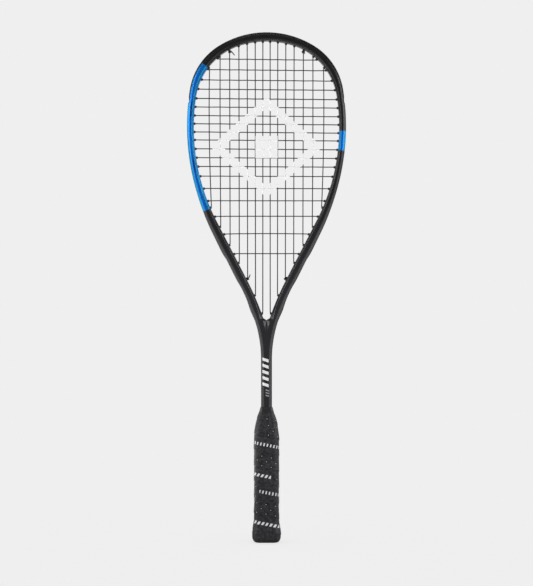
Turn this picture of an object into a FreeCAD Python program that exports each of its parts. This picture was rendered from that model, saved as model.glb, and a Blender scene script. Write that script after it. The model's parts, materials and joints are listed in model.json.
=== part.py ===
import FreeCAD, Part
import math
import os
import Sketcher

# A squash racket in millimetres, standing on its butt: +Z along its length, the string plane is XZ,
# the front faces -Y, and the origin is the centre of the butt's end face.

doc = FreeCAD.newDocument("SquashRacket")
Vector = FreeCAD.Vector

# ---------------------------------------------------------------- driving dimensions

DIMENSIONS = [
    ("OverallLength", 686.0),
    ("BeamDepth", 20.0),
    ("CrownRadius", 121.8),
    ("CrownSweep", 31.8),
    ("ShoulderRadius", 84.5),
    ("ShoulderSweep", 49.2),
    ("SideRadius", 312.0),
    ("SideSweep", 36.0),
    ("ThroatRadius", 187.0),
    ("ShaftWidth", 14.7),
    ("ShaftBottom", 12.0),
    ("EdgeChamfer", 2.6),
    ("StringAreaTop", 674.8),
    ("InnerCrownRadius", 120.5),
    ("InnerCrownSweep", 16.2),
    ("InnerShoulderRadius", 86.1),
    ("InnerShoulderSweep", 65.1),
    ("InnerSideRadius", 275.3),
    ("InnerSideSweep", 36.0),
    ("InnerArmStraight", 89.7),
    ("InnerThroatRadius", 370.0),
    ("InnerThroatSweep", 8.6),
    ("WebTop", 299.0),
    ("OuterWall", 4.2),
    ("InnerWall", 1.8),
    ("FaceWall", 2.4),
    ("ShaftWall", 1.6),
    ("ChannelWidth", 5.2),
    ("ChannelDepth", 3.0),
    ("HoleDiameter", 3.6),
    ("GuardLow", 592.0),
    ("GuardThickness", 1.4),
    ("GuardWidth", 16.0),
    ("StripThickness", 0.8),
    ("StripWidth", 5.0),
    ("StripTop", 590.0),
    ("StripBottom", 295.0),
    ("BarrelDiameter", 3.4),
    ("BarrelBore", 2.3),
    ("BarrelReach", 2.2),
    ("StringDiameter", 1.15),
    ("StringInset", 1.1),
    ("StringLane", 0.58),
    ("TieLane", 1.74),
    ("WeaveHeight", 1.46),
    ("FitGap", 0.05),
    ("CapFloor", 3.0),
    ("CapHeight", 30.0),
    ("CapHollowWidth", 27.7),
    ("CapHollowDepth", 22.7),
    ("CapHollowCorner", 5.0),
    ("ShaftHoleCorner", 2.0),
    ("PlugBottom", 40.0),
    ("PlugLength", 14.0),
    ("PuttyLength", 16.0),
    ("StapleWire", 0.6),
    ("StapleCrown", 8.0),
    ("StapleLeg", 4.5),
    ("StapleLevel", 24.0),
    ("TapeThickness", 0.3),
    ("TapeLip", 1.6),
    ("KnotDiameter", 3.0),
    ("KnotLength", 4.4),
]

# The outside of the wrapped grip from the butt to the shaft: height, half width, half depth, corner
# radius and the thickness of the grip there.
GRIP_PROFILE = [
    (4.0, 18.9, 16.4, 8.5, 1.8),
    (10.8, 19.6, 17.1, 9.0, 1.8),
    (16.0, 19.3, 16.8, 9.0, 1.8),
    (21.5, 18.2, 15.7, 8.5, 1.8),
    (27.0, 17.25, 14.75, 8.0, 1.8),
    (32.0, 16.9, 14.4, 8.0, 1.8),
    (142.0, 16.9, 14.4, 8.0, 1.8),
    (153.3, 15.5, 13.8, 7.6, 1.8),
    (161.4, 14.1, 13.3, 7.0, 1.8),
    (169.4, 12.2, 12.7, 6.0, 1.6),
    (177.5, 9.4, 12.0, 4.4, 1.2),
    (183.0, 7.9, 10.6, 3.2, 0.4),
]
PROFILE_WORDS = ["GripHeight", "GripHalfWidth", "GripHalfDepth", "GripCorner", "GripThickness"]
for number, values in enumerate(GRIP_PROFILE):
    DIMENSIONS += [("%s_%d" % (word, number), value) for word, value in zip(PROFILE_WORDS, values)]

# Where the strings meet the hoop, from the middle main outwards and from the top cross downwards.
MAIN_OFFSETS = [4.9, 15.2, 26.0, 37.2, 49.7, 62.5, 76.8]
MAIN_LOWER_OFFSETS = [5.0, 14.8, 25.4, 36.6, 49.0, 61.6, 74.2]
CROSS_HEIGHTS = [
    650.7, 636.4, 622.5, 610.1, 597.5, 586.1, 574.5, 563.5, 552.4, 541.7,
    529.7, 517.8, 505.9, 492.9, 476.3, 459.7, 438.7, 414.9, 388.4,
]
MIDDLE_HEIGHT = 560.0
KNOT_PLACES = [(-47.6, 659.2), (48.4, 658.8), (-22.6, 355.0), (23.2, 354.6)]

sheet = doc.addObject("Spreadsheet::Sheet", "Dimensions")
for row, (alias, value) in enumerate(DIMENSIONS, start=1):
    sheet.set("A%d" % row, alias)
    sheet.set("B%d" % row, str(value))
    sheet.setAlias("B%d" % row, alias)
doc.recompute()


def size(alias):
    """A driving dimension read back from the sheet."""
    return float(sheet.get(alias))


def bind(item, prop, formula):
    """Ties one property to the sheet; in a formula, $ stands for the sheet's name."""
    item.setExpression(prop, formula.replace("$", "Dimensions."))


def feature(label, shape):
    """A sub-part whose shape is built with Part's own functions."""
    item = doc.addObject("Part::Feature", label)
    item.Label = label
    item.Shape = shape
    item.Placement = FreeCAD.Placement()
    return item


# ---------------------------------------------------------------- outlines in the string plane

def polar(length, degrees):
    angle = math.radians(degrees)
    return Vector(length * math.cos(angle), 0, length * math.sin(angle))


def follow(start, heading, moves):
    """Edges of tangent arcs (radius, sweep) and straights (None, length).

    A positive radius turns clockwise, a negative one turns back. Returns the edges, end and heading.
    """
    edges = []
    here = start
    for radius, amount in moves:
        if radius is None:
            there = here + polar(amount, heading)
            edges.append(Part.makeLine(here, there))
        else:
            side = 1 if radius > 0 else -1
            centre = here + polar(abs(radius), heading - 90 * side)
            middle = centre - polar(abs(radius), heading - side * (amount / 2 + 90))
            there = centre - polar(abs(radius), heading - side * (amount + 90))
            edges.append(Part.Arc(here, middle, there).toShape())
            heading -= side * amount
        here = there
    return edges, here, heading


def silhouette_moves(inset):
    """The hoop's outer arcs; the arm's straight is worked out so that the arms end as the shaft."""
    sweep = size("CrownSweep") + size("ShoulderSweep") + size("SideSweep")
    bend = sweep - 90
    arcs = [
        (size("CrownRadius") - inset, size("CrownSweep")),
        (size("ShoulderRadius") - inset, size("ShoulderSweep")),
        (size("SideRadius") - inset, size("SideSweep")),
    ]
    start = Vector(0, 0, size("OverallLength") - inset)
    arm_top = follow(start, 0, arcs)[1]
    throat_radius = size("ThroatRadius") + inset
    throat_width = throat_radius * (1 - math.cos(math.radians(bend)))
    shaft_side = size("ShaftWidth") / 2 - inset
    straight = (arm_top.x - throat_width - shaft_side) / math.sin(math.radians(bend))
    return start, arcs + [(None, straight), (-throat_radius, bend)]


def silhouette_half(inset):
    """One side of the outside, from the top centre to where the arm has become the shaft."""
    start, moves = silhouette_moves(inset)
    return follow(start, 0, moves)


def inner_half(offset):
    """One side of the string area's edge; a positive offset goes into the frame."""
    moves = [
        (size("InnerCrownRadius") + offset, size("InnerCrownSweep")),
        (size("InnerShoulderRadius") + offset, size("InnerShoulderSweep")),
        (size("InnerSideRadius") + offset, size("InnerSideSweep")),
        (None, size("InnerArmStraight")),
        (offset - size("InnerThroatRadius"), size("InnerThroatSweep")),
    ]
    start = Vector(0, 0, size("StringAreaTop") + offset)
    return follow(start, 0, moves)


def mirrored(edges):
    return [edge.mirror(Vector(), Vector(1, 0, 0)) for edge in edges]


def slab(edges, half_depth):
    """A flat solid between -half_depth and +half_depth, from one side's edges and their mirror image."""
    wire = Part.Wire(Part.__sortEdges__(edges + mirrored(edges)))
    face = Part.Face(wire)
    face.translate(Vector(0, -half_depth, 0))
    return face.extrude(Vector(0, 2 * half_depth, 0))


def outer_slab(inset, half_depth, bottom):
    edges, end, _ = silhouette_half(inset)
    corner = Vector(end.x, 0, bottom)
    edges.append(Part.makeLine(end, corner))
    edges.append(Part.makeLine(corner, Vector(0, 0, bottom)))
    return slab(edges, half_depth)


def inner_slab(offset, half_depth):
    edges, end, _ = inner_half(offset)
    edges.append(Part.makeLine(end, Vector(0, 0, size("WebTop") - offset)))
    return slab(edges, half_depth)


def band(outside_inset, inside_inset, half_depth):
    """A strip of even thickness that follows the outside of the hoop."""
    low = size("StripBottom") - 30
    return outer_slab(outside_inset, half_depth, low).cut(outer_slab(inside_inset, half_depth + 1, low - 1))


def half_space(low, high, side=0):
    """A box from one height to another: the whole width, or only the side of that sign."""
    reach = 200.0
    left = 0.0 if side > 0 else -reach
    width = reach if side else 2 * reach
    return Part.makeBox(width, reach, high - low, Vector(left, -reach / 2, low))


# ---------------------------------------------------------------- string holes

def meeting(edges, start, end):
    """The point where a straight line meets a chain of edges."""
    chain = Part.Wire(edges)
    _, pairs, _ = chain.distToShape(Part.makeLine(start, end))
    return pairs[0][0]


def nearest(edges, point):
    _, pairs, _ = Part.Wire(edges).distToShape(Part.Vertex(point))
    return pairs[0][0]


def string_hole(start, end):
    """The barrel's tip and the groove point of a right-hand hole for a string running start to end."""
    string_pull = 0.4
    tip = meeting(inner_half(-size("BarrelReach"))[0], start, end)
    loop_line = silhouette_half(size("StringInset"))[0]
    outward = (nearest(loop_line, tip) - tip).normalize()
    heading = (outward + (end - start).normalize() * string_pull).normalize()
    groove = meeting(loop_line, tip, tip + heading * 30)
    return tip, groove


def flip(point):
    return Vector(-point.x, point.y, point.z)


def flip_to(point, sign):
    """A right-hand point, or its mirror image where sign is negative."""
    return flip(point) if sign < 0 else point


top_holes = []
bottom_holes = []
for offset, lower_offset in zip(MAIN_OFFSETS, MAIN_LOWER_OFFSETS):
    top_holes.append(string_hole(Vector(offset, 0, MIDDLE_HEIGHT), Vector(offset, 0, 700)))
    bottom_holes.append(string_hole(Vector(lower_offset, 0, MIDDLE_HEIGHT), Vector(lower_offset, 0, 303)))
cross_holes = [string_hole(Vector(0, 0, level), Vector(120, 0, level)) for level in CROSS_HEIGHTS]

right_holes = top_holes + bottom_holes + cross_holes
all_holes = right_holes + [(flip(tip), flip(groove)) for tip, groove in right_holes]


def rod(start, end, diameter):
    along = end - start
    return Part.makeCylinder(diameter / 2, along.Length, start, along)


def drills(holes, diameter):
    """Rods through the frame along the given holes, long enough to pass both walls."""
    rods = []
    for tip, groove in holes:
        along = (groove - tip).normalize()
        rods.append(rod(tip - along * 2, groove + along * 3, diameter))
    return rods


# ---------------------------------------------------------------- frame

def make_frame():
    half = size("BeamDepth") / 2
    chamfer = size("EdgeChamfer")
    solid = outer_slab(0, half, size("ShaftBottom")).cut(inner_slab(0, half + 1))
    rims = [edge for face in solid.Faces if abs(face.normalAt(0, 0).y) > 0.99 for edge in face.Edges]
    long_rims = [edge for edge in rims if edge.BoundBox.ZMin > size("ShaftBottom") - 1
                 and edge.BoundBox.ZMax > size("ShaftBottom") + 1]
    solid = solid.makeChamfer(chamfer, long_rims)
    guard_seat = band(-1, size("GuardThickness"), half + 1).common(half_space(size("GuardLow"), 700))
    channel = band(-1, size("ChannelDepth"), size("ChannelWidth") / 2)
    channel = channel.common(half_space(size("StripBottom"), 700))
    hollow_half = half - size("FaceWall")
    hollow = outer_slab(size("OuterWall"), hollow_half, 240).cut(inner_slab(size("InnerWall"), half))
    shaft_half = size("ShaftWidth") / 2 - size("ShaftWall")
    bore_low = size("ShaftBottom") - 1
    shaft_bore = Part.makeBox(2 * shaft_half, 2 * hollow_half, 262 - bore_low,
                              Vector(-shaft_half, -hollow_half, bore_low))
    solid = solid.cut(guard_seat).cut(channel).cut(hollow.fuse(shaft_bore))
    return solid.cut(Part.makeCompound(drills(all_holes, size("HoleDiameter"))))


# ---------------------------------------------------------------- bumper guard and grommet strips

def barrels(holes):
    """Short tubes from the strip through the hoop to a little inside the string area."""
    solids = []
    for tip, groove in holes:
        along = (groove - tip).normalize()
        foot = tip + along * ((groove - tip).Length - 1.3)
        solids.append(rod(tip, foot, size("BarrelDiameter")))
    return solids


def make_strip(holes, low, high, side):
    floor = band(size("ChannelDepth") - size("StripThickness"), size("ChannelDepth"), size("StripWidth") / 2)
    strip = floor.common(half_space(low, high, side))
    strip = strip.multiFuse(barrels(holes))
    envelope = outer_slab(size("ChannelDepth") - size("StripThickness"), 10, 240)
    strip = strip.common(envelope)
    return strip.cut(Part.makeCompound(drills(holes, size("BarrelBore")))).removeSplitter()


def make_guard(holes):
    """The bumper over the head's crown with the top barrels in one moulding and a groove for the strings."""
    low = size("GuardLow")
    groove = size("ChannelDepth") - size("StripThickness")
    crown = band(0, size("GuardThickness"), size("GuardWidth") / 2)
    root = band(size("GuardThickness") - 0.1, size("ChannelDepth"), size("StripWidth") / 2)
    guard = crown.fuse(root).common(half_space(low, 700))
    slot = band(-1, groove, size("TieLane") + size("StringDiameter") / 2 + 0.05)
    guard = guard.cut(slot).multiFuse(barrels(holes))
    guard = guard.common(outer_slab(0, 12, 240))
    return guard.cut(slot).cut(Part.makeCompound(drills(holes, size("BarrelBore")))).removeSplitter()


# ---------------------------------------------------------------- strings

def tube(points, diameter, bends):
    """A round tube of straight runs joined by tangent arcs; bends gives each inner corner's radius."""
    edges = []
    here = points[0]
    for before, corner, after, radius in zip(points, points[1:], points[2:], bends):
        way_in = (corner - before).normalize()
        way_out = (after - corner).normalize()
        half_turn = way_in.getAngle(way_out) / 2
        if half_turn < 0.002:
            continue
        setback = radius * math.tan(half_turn)
        arc_start = corner - way_in * setback
        arc_end = corner + way_out * setback
        inward = (way_out - way_in).normalize()
        middle = corner + inward * (radius / math.cos(half_turn) - radius)
        edges.append(Part.makeLine(here, arc_start))
        edges.append(Part.Arc(arc_start, middle, arc_end).toShape())
        here = arc_end
    edges.append(Part.makeLine(here, points[-1]))
    path = Part.Wire(edges)
    first_way = (points[1] - points[0]).normalize()
    section = Part.Wire(Part.makeCircle(diameter / 2, points[0], first_way))
    # A quarter turn keeps the tube's seam off the inside of the bends, where it makes faulty faces.
    section.rotate(points[0], first_way, 90)
    solid = path.makePipeShell([section], True, False)
    expected = math.pi * diameter ** 2 / 4 * path.Length
    if abs(solid.Volume / expected - 1) > 0.02:
        raise RuntimeError("string tube has the wrong volume: %.1f for %.1f" % (solid.Volume, expected))
    return solid


TIP_BEND = 2.0
GROOVE_BEND = 0.9
RUN_BEND = 6.0
GROOVE_STEP = 14.0


def in_lane(point, lane):
    return Vector(point.x, lane, point.z)


def groove_run(start, end, lane):
    """Points that keep a long stretch in the groove, between two groove points on one side."""
    line = silhouette_half(size("StringInset"))[0]
    steps = 1 + int((end - start).Length / GROOVE_STEP)
    points = []
    for step in range(1, steps):
        between = start + (end - start) * (step / steps)
        near = nearest(line, Vector(abs(between.x), 0, between.z))
        points.append(in_lane(flip_to(near, start.x), lane))
    return points


class Route:
    """The corners of a string in order, each with the radius of its bend."""

    def __init__(self):
        self.points = []
        self.bends = []

    def add(self, points, bend):
        self.points += points
        self.bends += [bend] * len(points)

    def add_groove(self, end, lane):
        """Follows the groove from the last corner to a new one."""
        if self.points[-1].x * end.x > 0:
            self.add(groove_run(self.points[-1], end, lane), RUN_BEND)

    def tube(self):
        return tube(self.points, size("StringDiameter"), self.bends[1:])


def both_sides(holes):
    """Right-hand holes and their mirror images, in order from left to right."""
    return [(flip(tip), flip(groove)) for tip, groove in reversed(holes)] + holes


def make_main_string():
    """Fourteen mains in one length: it turns over the top between the middle pair and ends in two ties."""
    lane = -size("StringLane")
    tie_lane = -size("TieLane")
    left_tie = in_lane(flip(bottom_holes[2][1]), tie_lane)
    right_tie = in_lane(bottom_holes[2][1], tie_lane)
    route = Route()
    route.add([left_tie], RUN_BEND)
    for index, (top, bottom) in enumerate(zip(both_sides(top_holes), both_sides(bottom_holes))):
        first, last = (bottom, top) if index % 2 == 0 else (top, bottom)
        route.add_groove(in_lane(first[1], lane), tie_lane if index == 0 else lane)
        route.add([in_lane(first[1], lane)], GROOVE_BEND)
        route.add([first[0], last[0]], TIP_BEND)
        route.add([in_lane(last[1], lane)], GROOVE_BEND)
    route.add_groove(right_tie, tie_lane)
    route.add([right_tie], RUN_BEND)
    return route.tube()


def woven_corners(tip, first_side):
    """Where one cross passes over and under the mains, from left to right."""
    rise = size("WeaveHeight")
    corners = []
    side = first_side
    for top, bottom in zip(both_sides(top_holes), both_sides(bottom_holes)):
        low, high = bottom[0], top[0]
        if low.z < tip.z < high.z:
            share = (tip.z - low.z) / (high.z - low.z)
            corners.append(Vector(low.x + (high.x - low.x) * share, side * rise, tip.z))
        side = -side
    return corners


def weave_bend(before, corner, after):
    """The largest bend that takes no more than a given height off the top of a wave."""
    lost_height = 0.2
    half_turn = (corner - before).getAngle(after - corner) / 2
    return min(RUN_BEND, lost_height / (1 / math.cos(half_turn) - 1))


def make_cross_string():
    """Nineteen crosses in one length, each woven over and under the mains."""
    lane = size("StringLane")
    tie_lane = size("TieLane")
    first_tie = in_lane(flip(top_holes[4][1]), tie_lane)
    last_tie = in_lane(bottom_holes[2][1], tie_lane)
    route = Route()
    route.add([first_tie], RUN_BEND)
    for index, (tip, groove) in enumerate(cross_holes):
        corners = [flip(tip)] + woven_corners(tip, 1 if index % 2 else -1) + [tip]
        ends = [in_lane(flip(groove), lane), in_lane(groove, lane)]
        if index % 2:
            corners.reverse()
            ends.reverse()
        route.add_groove(ends[0], tie_lane if index == 0 else lane)
        route.add([ends[0]], GROOVE_BEND)
        route.add([corners[0]], TIP_BEND)
        for before, corner, after in zip(corners, corners[1:], corners[2:]):
            route.add([corner], weave_bend(before, corner, after))
        route.add([corners[-1]], TIP_BEND)
        route.add([ends[1]], GROOVE_BEND)
    route.add_groove(last_tie, tie_lane)
    route.add([last_tie], RUN_BEND)
    return route.tube()


def make_knot(place):
    """A tied-off string end, simplified to a short rounded barrel in front of the strings."""
    diameter = size("KnotDiameter")
    length = size("KnotLength")
    clear_of_barrels = -(size("BarrelDiameter") + diameter) / 2 - size("FitGap")
    middle = Vector(place[0], clear_of_barrels, place[1])
    away = middle - flip_to(nearest(inner_half(0)[0], Vector(abs(place[0]), 0, place[1])), place[0])
    along_edge = Vector(-away.z, 0, away.x).normalize()
    barrel = Part.makeCylinder(diameter / 2, length, middle - along_edge * (length / 2), along_edge)
    return barrel.makeFillet(diameter / 4, barrel.Edges)


feature("frame", make_frame())
top_and_upper = top_holes + [hole for hole in cross_holes if hole[0].z > size("GuardLow")]
guard_holes = top_and_upper + [(flip(tip), flip(groove)) for tip, groove in top_and_upper]
feature("bumper_guard", make_guard(guard_holes))
side_holes = bottom_holes + [hole for hole in cross_holes if hole[0].z < size("GuardLow")]
feature("grommet_strip_right", make_strip(side_holes, size("StripBottom"), size("StripTop"), 1))
left_holes = [(flip(tip), flip(groove)) for tip, groove in side_holes]
feature("grommet_strip_left", make_strip(left_holes, size("StripBottom"), size("StripTop"), -1))
feature("main_string", make_main_string())
feature("cross_string", make_cross_string())
feature("string_knots", Part.makeCompound([make_knot(place) for place in KNOT_PLACES]))


# ---------------------------------------------------------------- handle: foam, cap, plug and putty

def origin_plane(body, role):
    return [plane for plane in body.Origin.OriginFeatures if plane.Role == role][0]


def rounded_sketch(body, name, level, half_width, half_depth, corner):
    """A rounded rectangle centred on the shaft's axis; level and sizes are formulas of the sheet."""
    sketch = body.newObject("Sketcher::SketchObject", name)
    sketch.AttachmentSupport = [(origin_plane(body, "XY_Plane"), "")]
    sketch.MapMode = "FlatFace"
    wide, deep, bend = 10.0, 8.0, 2.0
    stretch = wide - bend
    rise = deep - bend
    up = Vector(0, 0, 1)
    ends = [
        (Vector(-stretch, -deep, 0), Vector(stretch, -deep, 0), Vector(stretch, -rise, 0)),
        (Vector(wide, -rise, 0), Vector(wide, rise, 0), Vector(stretch, rise, 0)),
        (Vector(stretch, deep, 0), Vector(-stretch, deep, 0), Vector(-stretch, rise, 0)),
        (Vector(-wide, rise, 0), Vector(-wide, -rise, 0), Vector(-stretch, -rise, 0)),
    ]
    for quarter, (start, end, centre) in enumerate(ends):
        sketch.addGeometry(Part.LineSegment(start, end))
        first = math.radians(90 * quarter - 90)
        sketch.addGeometry(Part.ArcOfCircle(Part.Circle(centre, up, bend), first, first + math.pi / 2))
    for item in range(8):
        after = (item + 1) % 8
        sketch.addConstraint(Sketcher.Constraint("Tangent", item, 2, after, 1))
    for side in (0, 4):
        sketch.addConstraint(Sketcher.Constraint("Horizontal", side))
    for side in (2, 6):
        sketch.addConstraint(Sketcher.Constraint("Vertical", side))
    for arc in (3, 5, 7):
        sketch.addConstraint(Sketcher.Constraint("Equal", 1, arc))
    named = [
        ("Right", Sketcher.Constraint("DistanceX", -1, 1, 2, 1, wide), half_width),
        ("Left", Sketcher.Constraint("DistanceX", 6, 1, -1, 1, wide), half_width),
        ("Back", Sketcher.Constraint("DistanceY", -1, 1, 4, 1, deep), half_depth),
        ("Front", Sketcher.Constraint("DistanceY", 0, 1, -1, 1, deep), half_depth),
        ("Corner", Sketcher.Constraint("Radius", 1, bend), corner),
    ]
    for label, constraint, formula in named:
        index = sketch.addConstraint(constraint)
        sketch.renameConstraint(index, label)
        bind(sketch, "Constraints." + label, formula)
    bind(sketch, "AttachmentOffset.Base.z", level)
    return sketch


def profile_sketch(body, number, shrink, level=None):
    """The grip's section of that number, made smaller all round; shrink is a formula of the sheet."""
    terms = ["$%s_%d - (%s)" % (word, number, shrink) for word in PROFILE_WORDS[1:4]]
    height = level or "$GripHeight_%d" % number
    return rounded_sketch(body, "%s_section_%d" % (body.Label, number), height, *terms)


def loft(body, name, sections):
    item = body.newObject("PartDesign::AdditiveLoft", name)
    item.Profile = sections[0]
    item.Sections = sections[1:]
    item.Ruled = True
    return item


def prism(body, name, sketch, length):
    item = body.newObject("PartDesign::Pad", name)
    item.Profile = sketch
    bind(item, "Length", length)
    return item


def upward_pocket(body, name, sketch, length):
    """A pocket cut upwards from its sketch; it must take material away."""
    doc.recompute()
    before = body.Shape.Volume
    item = body.newObject("PartDesign::Pocket", name)
    item.Profile = sketch
    item.Reversed = True
    bind(item, "Length", length)
    doc.recompute()
    if body.Shape.Volume > before - 1:
        raise RuntimeError("pocket %s cuts nothing" % name)
    return item


def new_body(label):
    body = doc.addObject("PartDesign::Body", label)
    body.Label = label
    return body


SHAFT_HOLE = ["$ShaftWidth / 2 + 2 * $FitGap", "$BeamDepth / 2 + 2 * $FitGap", "$ShaftHoleCorner"]
CAP_HOLLOW = ["$CapHollowWidth / 2", "$CapHollowDepth / 2", "$CapHollowCorner"]
CAP_FOOT = ["$GripHalfWidth_0 - 4", "$GripHalfDepth_0 - 4", "$GripCorner_0 - 2.5"]
CAP_EDGE = ["$GripHalfWidth_0 - 1.3", "$GripHalfDepth_0 - 1.3", "$GripCorner_0 - 0.8"]


def make_handle_foam():
    """The moulded pallet round the shaft: a neck inside the cap, the grip's length and the taper."""
    body = new_body("handle_foam")
    neck_low = "$CapFloor + 2 * $FitGap"
    neck = rounded_sketch(body, "neck", neck_low, *["%s - $FitGap" % term for term in CAP_HOLLOW])
    prism(body, "neck_pad", neck, "$CapHeight - (%s)" % neck_low)
    sections = [profile_sketch(body, 5, "$GripThickness_5 + $FitGap", "$CapHeight")]
    for number in range(6, 11):
        sections.append(profile_sketch(body, number, "$GripThickness_%d + $FitGap" % number))
    loft(body, "pallet", sections)
    hole = rounded_sketch(body, "shaft_hole", "$ShaftBottom - 1", *SHAFT_HOLE)
    upward_pocket(body, "shaft_pocket", hole, "$OverallLength / 2")
    return body


def make_butt_cap():
    """The cap over the handle's end: a domed foot, a flared skirt under the grip and a hollow."""
    body = new_body("butt_cap")
    foot = rounded_sketch(body, "foot", "0", *CAP_FOOT)
    edge = rounded_sketch(body, "edge", "1.2", *CAP_EDGE)
    loft(body, "dome", [foot, edge, profile_sketch(body, 0, "0")])
    skirt = []
    for number in range(5):
        section = rounded_sketch(body, "skirt_%d" % number, "$GripHeight_%d" % number, *[
            "$%s_%d - $GripThickness_%d - $FitGap" % (word, number, number) for word in PROFILE_WORDS[1:4]])
        skirt.append(section)
    last = ["$%s_5 - $GripThickness_5 - $FitGap" % word for word in PROFILE_WORDS[1:4]]
    skirt.append(rounded_sketch(body, "skirt_top", "$CapHeight - $FitGap", *last))
    loft(body, "skirt", skirt)
    hollow = rounded_sketch(body, "hollow", "$CapFloor", *CAP_HOLLOW)
    upward_pocket(body, "hollow_pocket", hollow, "$CapHeight")
    return body


def make_bore_block(label, low, length):
    """A block that fills the shaft's bore over a short length."""
    body = new_body(label)
    half_width = "$ShaftWidth / 2 - $ShaftWall - $FitGap"
    half_depth = "$BeamDepth / 2 - $FaceWall - $FitGap"
    section = rounded_sketch(body, label + "_section", low, half_width, half_depth, "0.8")
    prism(body, label + "_pad", section, length)
    return body


# ---------------------------------------------------------------- grip, finishing tape and staples

def rounded_wire(level, half_width, half_depth, corner):
    """The same rounded rectangle as a plain wire."""
    stretch = half_width - corner
    rise = half_depth - corner
    edges = []
    for quarter in range(4):
        turn = FreeCAD.Rotation(Vector(0, 0, 1), 90 * quarter)
        along, across = (stretch, half_depth) if quarter % 2 == 0 else (rise, half_width)
        start = turn.multVec(Vector(-along, -across, 0))
        end = turn.multVec(Vector(along, -across, 0))
        centre = turn.multVec(Vector(along, corner - across, 0))
        middle = centre + turn.multVec(Vector(1, -1, 0).normalize() * corner)
        arc_end = centre + turn.multVec(Vector(corner, 0, 0))
        edges.append(Part.makeLine(start, end))
        edges.append(Part.Arc(end, middle, arc_end).toShape())
    wire = Part.Wire(edges)
    wire.translate(Vector(0, 0, level))
    return wire


def grip_row(number):
    return [size("%s_%d" % (word, number)) for word in PROFILE_WORDS]


def grip_surface(grow):
    """The closed loft of the grip's outside; grow is a function of the thickness at each section."""
    wires = []
    for number in range(len(GRIP_PROFILE)):
        height, half_width, half_depth, corner, thickness = grip_row(number)
        step = grow(thickness)
        wires.append(rounded_wire(height, half_width + step, half_depth + step, corner + step))
    return Part.makeLoft(wires, True, True)


def make_grip():
    return grip_surface(lambda thickness: 0).cut(grip_surface(lambda thickness: -thickness))


def make_finishing_tape():
    """A thin band that holds down the end of the grip and reaches a little onto the shaft."""
    thickness = size("TapeThickness")
    gap = size("FitGap")
    lip_top = grip_row(11)[0] + size("TapeLip")
    shaft = (size("ShaftWidth") / 2, size("BeamDepth") / 2, size("ShaftHoleCorner"))
    outside = []
    inside = []
    for number in (10, 11):
        height, half_width, half_depth, corner, _ = grip_row(number)
        for wires, step in ((outside, gap + thickness), (inside, gap)):
            wires.append(rounded_wire(height, half_width + step, half_depth + step, corner + step))
    outside.append(rounded_wire(lip_top, *[value + gap + thickness for value in shaft]))
    inside.append(rounded_wire(lip_top, *[value + gap for value in shaft]))
    return Part.makeLoft(outside, True, True).cut(Part.makeLoft(inside, True, True))


def make_staple(label, side):
    """One staple through the side of the cap's skirt into the foam: a crown and two legs."""
    skirt_side = "($GripHalfWidth_4 - $GripThickness_4 - $FitGap)"
    crown_left = skirt_side + " - $StapleWire" if side > 0 else "-" + skirt_side
    leg_left = skirt_side + " - $StapleLeg" if side > 0 else "-" + skirt_side
    shapes = [
        ("crown", crown_left, "-$StapleCrown / 2", "$StapleWire", "$StapleCrown"),
        ("leg_front", leg_left, "-$StapleCrown / 2", "$StapleLeg", "$StapleWire"),
        ("leg_back", leg_left, "$StapleCrown / 2 - $StapleWire", "$StapleLeg", "$StapleWire"),
    ]
    pieces = []
    for name, left, front, wide, deep in shapes:
        box = doc.addObject("Part::Box", "%s_%s" % (label, name))
        bind(box, "Length", wide)
        bind(box, "Width", deep)
        bind(box, "Height", "$StapleWire * 2")
        bind(box, "Placement.Base.x", left)
        bind(box, "Placement.Base.y", front)
        bind(box, "Placement.Base.z", "$StapleLevel")
        pieces.append(box)
    staple = doc.addObject("Part::MultiFuse", label)
    staple.Shapes = pieces
    return staple


make_handle_foam()
make_butt_cap()
make_bore_block("shaft_plug", "$PlugBottom", "$PlugLength")
make_bore_block("balance_putty", "$PlugBottom - $PuttyLength - $FitGap", "$PuttyLength")
staples = doc.addObject("Part::Compound", "butt_cap_staples")
staples.Links = [make_staple("staple_left", -1), make_staple("staple_right", 1)]
feature("grip_tape", make_grip())
feature("finishing_tape", make_finishing_tape())

# ---------------------------------------------------------------- checks and export

doc.recompute()
NODES = [
    "frame", "bumper_guard", "grommet_strip_left", "grommet_strip_right", "main_string", "cross_string",
    "string_knots", "handle_foam", "butt_cap", "butt_cap_staples", "shaft_plug", "balance_putty",
    "grip_tape", "finishing_tape",
]
for item in doc.Objects:
    if "Invalid" in item.State or "Error" in item.State:
        raise RuntimeError("%s failed: %s" % (item.Label, item.State))
subparts = [doc.getObjectsByLabel(label)[0] for label in NODES]
for item in subparts:
    if item.Shape.isNull() or not item.Shape.isValid():
        raise RuntimeError("%s has no valid shape" % item.Label)
os.makedirs("parts", exist_ok=True)
for item in subparts:
    item.Shape.exportStep("parts/%s.step" % item.Label)
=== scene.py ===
import json
import math
from functools import partialmethod

import bmesh
import bpy
import numpy as np
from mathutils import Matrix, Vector
from numpy.linalg import norm

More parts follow.
